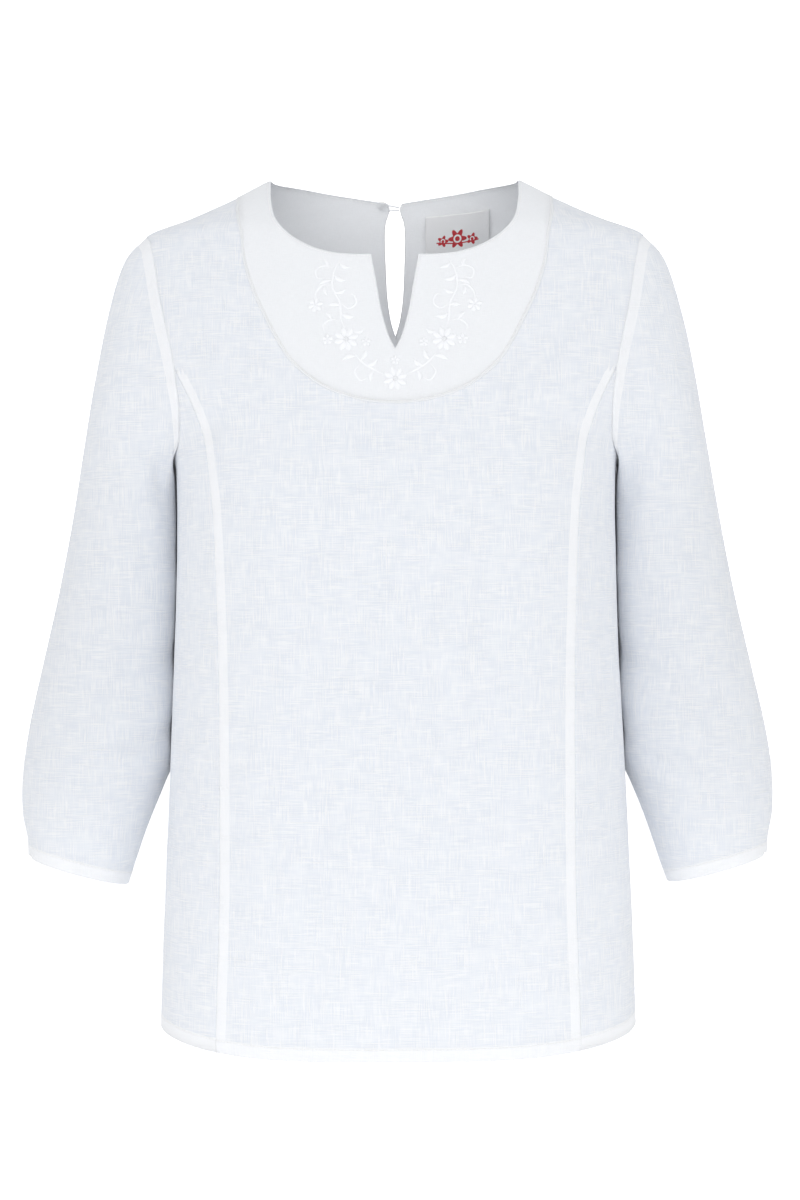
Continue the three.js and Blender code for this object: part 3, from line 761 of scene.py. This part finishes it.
def yoke_place(x, z):
    angle = angle_at(abs(x), z) * (1 if x >= 0 else -1)
    across, down = threads(angle % 360, z)
    normal = form_normal(angle, z)
    return form_point(angle, z) + normal * (YOKE_PROUD + body_fall(across, down) - SATIN_SINK), normal


def satin(bm, path, widths, height=SATIN_HEIGHT, place=yoke_place):
    """A domed pad of stitches along a path on the cloth, as wide at each of its points as widths says."""
    run = [0]
    for a, b in zip(path, path[1:]):
        run.append(run[-1] + (Vector(b) - Vector(a)).length)
    rows = [(r, *point, width) for r, point, width in zip(run, path, widths)]
    count = max(4, round(run[-1] / 1.4))
    weave = bm.loops.layers.uv.verify()
    grid = bmesh.ops.create_grid(bm, x_segments=count, y_segments=4, size=1)["verts"]
    step = 0.2
    marks = {}
    for vert in grid:
        along = (vert.co.x + 1) / 2 * run[-1]
        across = vert.co.y
        x, z, width = smooth_row(rows, along)
        xa, za, _ = smooth_row(rows, max(along - step, 0))
        xb, zb, _ = smooth_row(rows, min(along + step, run[-1]))
        point, normal = place(x, z)
        ahead = place(xb, zb)[0] - place(xa, za)[0]
        aside = normal.cross(ahead).normalized()
        marks[vert] = (along, across * width / 2)
        dome = (1 - across * across) ** 0.6 if abs(across) < 1 else -0.25
        narrow = min(1, width / 2.2)
        vert.co = point + aside * (across * width / 2) + normal * (height * dome * narrow)
    for face in {face for vert in grid for face in vert.link_faces}:
        for loop in face.loops:
            loop[weave].uv = marks[loop.vert]


def blossom(bm, x, z, radius, petals, width, turn=0.3):
    for k in range(petals):
        heading = turn + 2 * pi * k / petals
        reach = [0.2, 0.45, 0.75, 1.0]
        path = [(x + radius * r * cos(heading), z + radius * r * sin(heading)) for r in reach]
        satin(bm, path, (width * 0.35, width * 0.85, width, width * 0.3))
    ring = [(x + 1.1 * cos(a), z + 1.1 * sin(a)) for a in (0, pi / 2, pi, 3 * pi / 2, 2 * pi)]
    satin(bm, ring, (1.6,) * 5, 0.8)


finish = Finish(
    "white_silk", Roughness=0.42, Sheen_Weight=0.25, Sheen_Roughness=0.35, Specular_IOR_Level=0.45
)
along, aside = finish.map("UVMap")
strand = abs(along / 0.42 % 1 - 0.5)
# The base colour holds painted shade: the silk is painted darker in the grooves between neighbouring strands
# and stays light along each strand's middle, while the bump also raises each strand.
finish.feed(
    Base_Color=finish.blend(finish.fade(strand, 0.5, 0.2), (0.8, 0.81, 0.84, 1), (0.925, 0.93, 0.945, 1)),
    Normal=finish.bump(1 - strand, 0.25, 0.6),
)
white_silk = finish.material

bm = bmesh.new()
bm.loops.layers.uv.new("UVMap")
for sign in (1, -1):
    for stem in STEMS:
        tips = [0.4] + [STEM_WIDTH] * (len(stem) - 2) + [0.5]
        satin(bm, [(sign * x, z) for x, z in stem], tips, 0.4)
    for x0, z0, x1, z1, width in LEAVES:
        bow = 0.12 * (x1 - x0), 0.12 * (z1 - z0)
        middle = (sign * ((x0 + x1) / 2 - bow[1]), (z0 + z1) / 2 + bow[0])
        satin(bm, [(sign * x0, z0), middle, (sign * x1, z1)], (0.5, width, 0.3))
    for x, z, *shape in BLOSSOMS:
        blossom(bm, sign * x, z, *shape)
for flower in MIDDLE_BLOSSOMS:
    blossom(bm, *flower)
bmesh.ops.recalc_face_normals(bm, faces=bm.faces)
bm.normal_update()
if sum(face.normal.y for face in bm.faces) > 0:
    bmesh.ops.reverse_faces(bm, faces=bm.faces)
embroidery = new_piece(bm, "embroidery", white_silk)
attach(embroidery, "root")

# ---------------------------------------------------------------- sleeves
# Three-quarter sleeves of linen, set in flat at the shoulder with the seam allowance turned into the sleeve,
# and hanging a little forward. A turned hem finishes each, with a short open vent on the outer side.

# Sections from the armhole to the edge: the outermost and innermost points, half the depth front to back, and
# how far the middle lies behind the side seam.
SLEEVE = [
    (0, 180, -40.4, 159, -206, 62, 3),
    (1, 197, -60, 160, -212, 64, 7),
    (2, 211, -101, 158, -222, 65, 12),
    (3, 220.5, -145, 156, -236, 65, 17),
    (4, 228, -189, 155, -256, 64, 21),
    (5, 237, -243, 154, -289, 61, 25),
    (6, 247.5, -298, 155, -329, 58, 26),
    (7, 259, -350, 157, -371, 55, 24),
    (8, 268, -395, 160, -411, 52, 19),
    (9, 271.5, -425, 170.5, -438, 50, 14),
    (10, 272, -454, 182, -468, 46, 8),
    (11, 268, -489, 195.5, -509, 40, 0),
]
SLEEVE_SQUARE = 2.15
SLEEVE_LENGTH = 460
CAP_ROWS = 3.2
SLEEVE_CLEAR, SLEEVE_SINK = 1.2, 6
VENT_LENGTH, VENT_SPLAY, VENT_DIP, VENT_GAP = 35, 3.2, 4.2, 1.6
UNDERLAP_IN, UNDERLAP_FORWARD, UNDERLAP_STEPS = 9.4, 5, 1.7  # the back edge's way under the front one
ARMHOLE_MIDDLE = Vector((175, 0, -120))
TUCK_IN, TUCK_UNDER = 2.2, 0.9  # how far the sleeve's seam edge runs on under the body, and how deep
SLEEVE_ROWS = 132
SLEEVE_COLUMNS = 2 * (UPPER_CELLS + LOWER_CELLS)
SLEEVE_DEGREE = 0.95  # millimetres of cloth for each degree round a sleeve
# Folds of a sleeve: both ends as degrees round it (0 the front, 90 the outer side) and share of its length,
# half the width in millimetres, and the height.
SLEEVE_FOLDS = [
    (-75, 0.56, 20, 0.68, 9, -2.6),
    (-80, 0.62, 35, 0.78, 9, 2.0),
    (-70, 0.70, 10, 0.84, 8, -1.8),
    (-60, 0.44, 30, 0.52, 12, 1.6),
    (15, 0.14, 55, 0.44, 16, 1.4),
    (75, 0.10, 95, 0.52, 18, -1.5),
    (-30, 0.16, -45, 0.42, 12, -2.0),
    (60, 0.60, 80, 0.96, 16, 1.2),
    (170, 0.50, 110, 0.72, 14, -2.2),
    (190, 0.58, 130, 0.80, 13, 1.8),
    (150, 0.12, 140, 0.42, 18, 1.6),
    (205, 0.14, 215, 0.44, 14, -2.0),
]

sleeve_linen = linen("sleeve_linen", seam_side=9)
vent_share = 1 - VENT_LENGTH / SLEEVE_LENGTH
front_ring = list(reversed(joined(armhole_upper, armhole_lower)))
armhole_ring = joined(armhole_back, front_ring)
column_scale = SLEEVE_COLUMNS / 24


def sleeve_section(share, turn):
    x_out, z_out, x_in, z_in, depth, y_mid = smooth_row(SLEEVE, share * (len(SLEEVE) - 1))
    across, along = sin(radians(turn)), cos(radians(turn))
    reach = (abs(across) ** SLEEVE_SQUARE + abs(along) ** SLEEVE_SQUARE) ** (-1 / SLEEVE_SQUARE)
    return Vector((
        (x_out + x_in) / 2 + (x_out - x_in) / 2 * reach * across,
        y_mid - depth * reach * along,
        (z_out + z_in) / 2 + (z_out - z_in) / 2 * reach * across,
    ))


def body_reach(y, z):
    """How far the body reaches sideways at a depth and height."""
    half, front, back, square = smooth_row(form_rows, -z)
    share = min(1, abs(y) / (front if y < 0 else back))
    return half * (1 - share**square) ** (1 / square)


def sleeve_point(share, step):
    turn = 90 + 360 * step / SLEEVE_COLUMNS
    point = sleeve_section(share, turn)
    place = min(share * (len(SLEEVE) - 1) / CAP_ROWS, 1)
    fading = 1 - place * place * (3 - 2 * place)
    if fading > 0:
        point += (form_point(*armhole_ring[step]) - sleeve_section(0, turn)) * fading
    opened = max(0, (share - vent_share) / (1 - vent_share))
    if opened > 0:
        from_back = exp(-step / (2 * column_scale))
        from_front = exp(-(SLEEVE_COLUMNS - step) / (2 * column_scale))
        point.x += opened * (VENT_SPLAY * from_back - VENT_DIP * from_front)
        point.y += VENT_GAP * opened * (from_back - from_front)
        underlap = opened * exp(-((step / UNDERLAP_STEPS) ** 2))
        point -= Vector((UNDERLAP_IN, UNDERLAP_FORWARD, 0)) * underlap
    if point.z < UNDERARM:
        sunk = min(1, (UNDERARM - point.z) / SLEEVE_SINK)
        point.x = max(point.x, body_reach(point.y, point.z) + SLEEVE_CLEAR * sunk)
    return point


def row_share(row):
    edge = [reach / SLEEVE_LENGTH for reach in EDGE_ROWS]
    last = len(edge) - 1
    if row <= last:
        return edge[row]
    if row >= SLEEVE_ROWS - last:
        return 1 - edge[SLEEVE_ROWS - row]
    return edge[last] + (1 - 2 * edge[last]) * (row - last) / (SLEEVE_ROWS - 2 * last)


sleeve_grid = []
for row in range(SLEEVE_ROWS + 1):
    sleeve_grid.append([sleeve_point(row_share(row), step) for step in range(SLEEVE_COLUMNS + 1)])
for step, (angle, z) in enumerate(armhole_ring):
    normal = form_normal(angle, z)
    inland = sleeve_grid[0][step] - ARMHOLE_MIDDLE
    inland = (inland - normal * inland.dot(normal)).normalized()
    sleeve_grid[0][step] += inland * TUCK_IN - normal * TUCK_UNDER
# The threads hang upright at the sleeve's front, and go round it level.
front_step = SLEEVE_COLUMNS * 3 // 4
sleeve_across, sleeve_down = [], []
for row, points in enumerate(sleeve_grid):
    run = [0]
    for a, b in zip(points, points[1:]):
        run.append(run[-1] + (b - a).xy.length)
    sleeve_across.append([points[front_step].x + r - run[front_step] for r in run])
    if row:
        above = sleeve_grid[row - 1]
        sleeve_down.append([d + (p - q).length for d, p, q in zip(sleeve_down[-1], points, above)])
    else:
        sleeve_down.append([-TUCK_IN] * (SLEEVE_COLUMNS + 1))


def sleeve_fall(step, row, sign):
    turn = (90 + 360 * step / SLEEVE_COLUMNS) % 360
    share = row_share(row)
    lift = 0
    for k, (turn0, share0, turn1, share1, width, height) in enumerate(SLEEVE_FOLDS):
        shift = 0 if sign > 0 else 0.02 * sin(2.7 * k)
        start = Vector((0, (share0 + shift) * SLEEVE_LENGTH))
        line = Vector(((turn1 - turn0) * SLEEVE_DEGREE, (share1 - share0) * SLEEVE_LENGTH))
        off = (turn - turn0 + 180) % 360 - 180
        here = Vector((off * SLEEVE_DEGREE, share * SLEEVE_LENGTH)) - start
        lift += fold_lift(here, line, width, height, 0.1)
    ring = (cos(radians(turn)) * 1.7, sin(radians(turn)) * 1.7, share * 7 + 3 * sign)
    quiet = min(1, share / 0.05, (1 - share) / 0.03)
    return lift + 0.6 * quiet * noise.noise(Vector(ring))


def sleeve_cell(sign):
    def cell(step, row):
        point = sleeve_grid[row][step].copy()
        down = sleeve_down[row][step]
        from_hem = sleeve_down[-1][step] - down
        lift = sleeve_fall(step, row, sign) + seam_roll(down, from_hem * 1.5)
        point.x *= sign
        return point, (sign * sleeve_across[row][step], -point.z), (down, from_hem), lift

    return cell


def sleeve_core(sign):
    rows = [(-(row[2] + row[4]) / 2, (row[1] + row[3]) / 2) for row in SLEEVE]
    return lambda z: sign * smooth_row(rows, -z)[0]


for side, sign in (("left", 1), ("right", -1)):
    name = f"sleeve_{side}"
    sleeve = cloth(
        f"{name}_cloth", SLEEVE_COLUMNS, SLEEVE_ROWS, sleeve_cell(sign), sleeve_linen, core=sleeve_core(sign)
    )
    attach(sleeve, "root")
    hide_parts(name)

# ---------------------------------------------------------------- bar tacks
# Two short bars of thread across each side front, at the waist, hold the ends of a thread loop for a belt.

bm = bmesh.new()
bm.loops.layers.uv.new("UVMap")
for sign in (1, -1):
    for x, z in ((135, -447.8), (135, -450)):
        satin(bm, [(sign * (x - 1.1), z), (sign * x, z), (sign * (x + 1.1), z)], (0.7, 0.8, 0.7), 0.5)
bm.normal_update()
if sum(face.normal.y for face in bm.faces) > 0:
    bmesh.ops.reverse_faces(bm, faces=bm.faces)
bar_tacks = new_piece(bm, "bar_tacks", white_silk)
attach(bar_tacks, "root")

# ---------------------------------------------------------------- neck label
# A woven satin ribbon sewn by its ends inside the back neck, with a small red woven ornament.

LABEL_LEFT, LABEL_RIGHT, LABEL_TOP, LABEL_HEIGHT = 23, 71, 9, 38
LABEL_OFF = 2.9  # in from the form
NECK_MIDDLE, NECK_SHOULDER, NECK_HALF = -9.2, -1.2, 89  # the neckline's heights, and half its width
LABEL_COLUMNS, LABEL_ROWS = 48, 38


def label_cell(column, row):
    x = LABEL_LEFT + (LABEL_RIGHT - LABEL_LEFT) * column / LABEL_COLUMNS
    down = LABEL_HEIGHT * row / LABEL_ROWS
    z = NECK_MIDDLE + (NECK_SHOULDER - NECK_MIDDLE) * (x / NECK_HALF) ** 2 - LABEL_TOP - down
    angle = angle_at(x, z, behind=True)
    bulge = 0.8 * sin(pi * down / LABEL_HEIGHT) + 0.25 * sin(x / 4)
    place = (x - (LABEL_LEFT + LABEL_RIGHT) / 2, LABEL_HEIGHT / 2 - down)
    rim = min(column, LABEL_COLUMNS - column), min(row, LABEL_ROWS - row)
    return form_point(angle, z), place, rim, -LABEL_OFF - bulge


finish = Finish("label_ribbon", Roughness=0.5, Sheen_Weight=0.2, Specular_IOR_Level=0.4)
across, up = finish.map("weave")


def woven_blossom(x, y, reach, petals):
    """1 inside a blossom of the ornament, and 0 round it and in its eye."""
    right, above = across - x, up - y
    radius = finish.node("ShaderNodeMath", {"operation": "SQRT"}, {0: right * right + above * above})
    turn = finish.node("ShaderNodeMath", {"operation": "ARCTAN2"}, {0: above, 1: right})
    petal = finish.node("ShaderNodeMath", {"operation": "COSINE"}, {0: turn * petals})
    inside = finish.fade(radius - petal * (reach * 0.22), reach * 0.84, reach * 0.74)
    return inside * finish.fade(abs(radius - reach * 0.34), reach * 0.05, reach * 0.12)


stalk = finish.fade(abs(up + 1.5 - abs(across) * 0.1), 0.6, 0.35) * finish.fade(abs(across), 16, 15.6)
red = woven_blossom(0, 2, 7, 6) + woven_blossom(11, 1, 4.2, 5) + woven_blossom(-11, 1, 4.2, 5) + stalk
red = finish.node("ShaderNodeMath", {"operation": "MINIMUM"}, {0: red, 1: 1.0})
rib = finish.clouds(across / 0.35, up / 4)
finish.feed(
    Base_Color=finish.blend(red, (0.96, 0.955, 0.95, 1), (0.56, 0.035, 0.045, 1)),
    Normal=finish.bump(rib + red * 0.5, 0.2, 0.5),
)
label = cloth("neck_label_ribbon", LABEL_COLUMNS, LABEL_ROWS, label_cell, finish.material, 0.4)
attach(label, "root")
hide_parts("neck_label")

# ---------------------------------------------------------------- button and loop
# A small two-hole pearl button closes the back neck above the keyhole, with a loop of covered cotton cord
# that is caught in the other edge of the yoke.

BUTTON_X, BUTTON_Z, BUTTON_ACROSS = -9.6, -12.8, 9
BUTTON_SHANK, BUTTON_STEM, BUTTON_THICK = 2.2, 1.1, 2
LOOP_CORD = 1.4
OBJECT_PLACE = 3  # the Object output of a Texture Coordinate node
LOOP = [
    (3.2, -12.0, -0.5), (0.6, -11.7, 0.4), (-2.6, -11.3, 1.4), (-6, -10.9, 1.5), (-9.6, -10.5, 1.5),
    (-11.5, -11.5, 1.5), (-11.9, -12.8, 1.5), (-11.5, -14.1, 1.5), (-9.6, -15.1, 1.5), (-6, -14.9, 1.5),
    (-2.6, -14.6, 1.4), (0.6, -14.3, 0.4), (3.2, -14.1, -0.5),
]


def behind_neck(x, z, out):
    angle = angle_at(abs(x), z, behind=True)
    angle = 360 - angle if x < 0 else angle
    normal = form_normal(angle, z)
    return form_point(angle, z) + normal * out, normal


def pearl():
    finish = Finish("pearl", Roughness=0.22, Coat_Weight=0.4, Specular_IOR_Level=0.55)
    place = finish.node("ShaderNodeTexCoord", {}, {}, OBJECT_PLACE)
    clouds = finish.node("ShaderNodeTexNoise", {}, {"Vector": place, "Scale": 420, "Detail": 3})
    finish.feed(
        Base_Color=finish.blend(clouds, (0.86, 0.84, 0.80, 1), (0.95, 0.95, 0.93, 1)),
        Normal=finish.bump(clouds, 0.1, 0.2),
    )
    return finish.material


radius = BUTTON_ACROSS / 2
top = BUTTON_SHANK + BUTTON_THICK
PROFILE = [
    (0, BUTTON_SHANK), (radius - 0.7, BUTTON_SHANK), (radius - 0.15, BUTTON_SHANK + 0.5), (radius, top - 1),
    (radius - 0.2, top - 0.3), (radius - 0.7, top), (radius - 1.2, top - 0.1), (radius - 1.7, top - 0.55),
    (0, top - 0.6),
]
bm = bmesh.new()
verts = [bm.verts.new((r, 0, h)) for r, h in PROFILE]
rim = [bm.edges.new(pair) for pair in zip(verts, verts[1:])]
bmesh.ops.spin(
    bm, geom=verts + rim, cent=(0, 0, 0), axis=(0, 0, 1), dvec=(0, 0, 0),
    angle=2 * pi, steps=40, use_merge=True,
)
bmesh.ops.remove_doubles(bm, verts=bm.verts, dist=0.001)
bmesh.ops.recalc_face_normals(bm, faces=bm.faces)
seat, outward = behind_neck(BUTTON_X, BUTTON_Z, YOKE_PROUD + 0.2)
seat_turn = Matrix.Translation(seat) @ outward.to_track_quat("Z", "Y").to_matrix().to_4x4()
bmesh.ops.transform(bm, matrix=seat_turn, verts=bm.verts)
button = new_piece(bm, "button", pearl())
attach(button, "root")
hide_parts("neck_button")

# The thread through the holes and the stem that it forms under the button.
bm = bmesh.new()
bmesh.ops.create_cone(
    bm, cap_ends=True, segments=16, radius1=BUTTON_STEM, radius2=BUTTON_STEM * 0.8, depth=BUTTON_SHANK + 0.2,
    matrix=Matrix.Translation((0, 0, BUTTON_SHANK / 2)),
)
for offset in (-0.35, 0.35):
    bmesh.ops.create_cone(
        bm, cap_ends=True, segments=10, radius1=0.22, radius2=0.22, depth=2.4,
        matrix=Matrix.Translation((offset, 0, top - 0.5)) @ Matrix.Rotation(pi / 2, 4, "X"),
    )
bmesh.ops.transform(bm, matrix=seat_turn, verts=bm.verts)
finish = Finish("cotton_cord", Roughness=0.8, Sheen_Weight=0.15)
place = finish.node("ShaderNodeTexCoord", {}, {}, OBJECT_PLACE)
fibres = finish.node("ShaderNodeTexNoise", {}, {"Vector": place, "Scale": 1600, "Detail": 2})
finish.feed(
    Base_Color=finish.blend(fibres, (0.82, 0.83, 0.86, 1), (0.94, 0.945, 0.96, 1)),
    Normal=finish.bump(fibres, 0.12, 0.6),
)
cotton_cord = finish.material
shank = new_piece(bm, "button_thread", cotton_cord)
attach(shank, "root")

route = bpy.data.curves.new("loop_route", "CURVE")
route.dimensions = "3D"
route.bevel_depth = LOOP_CORD / 2000
route.bevel_resolution = 4
route.resolution_u = 6
spline = route.splines.new("NURBS")
spline.points.add(len(LOOP) - 1)
for knot, place in zip(spline.points, LOOP):
    knot.co = (*(behind_neck(*place)[0] / 1000), 1)
spline.use_endpoint_u = True
route.use_fill_caps = True
loop_curve = bpy.data.objects.new("loop_curve", route)
scene.collection.objects.link(loop_curve)
loop_mesh = bpy.data.meshes.new_from_object(loop_curve.evaluated_get(bpy.context.evaluated_depsgraph_get()))
bpy.data.objects.remove(loop_curve)
for polygon in loop_mesh.polygons:
    polygon.use_smooth = True
loop_mesh.materials.clear()
loop_mesh.materials.append(cotton_cord)
button_loop = bpy.data.objects.new("cord_loop", loop_mesh)
scene.collection.objects.link(button_loop)
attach(button_loop, "root")
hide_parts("button_loop")


bpy.context.view_layer.update()
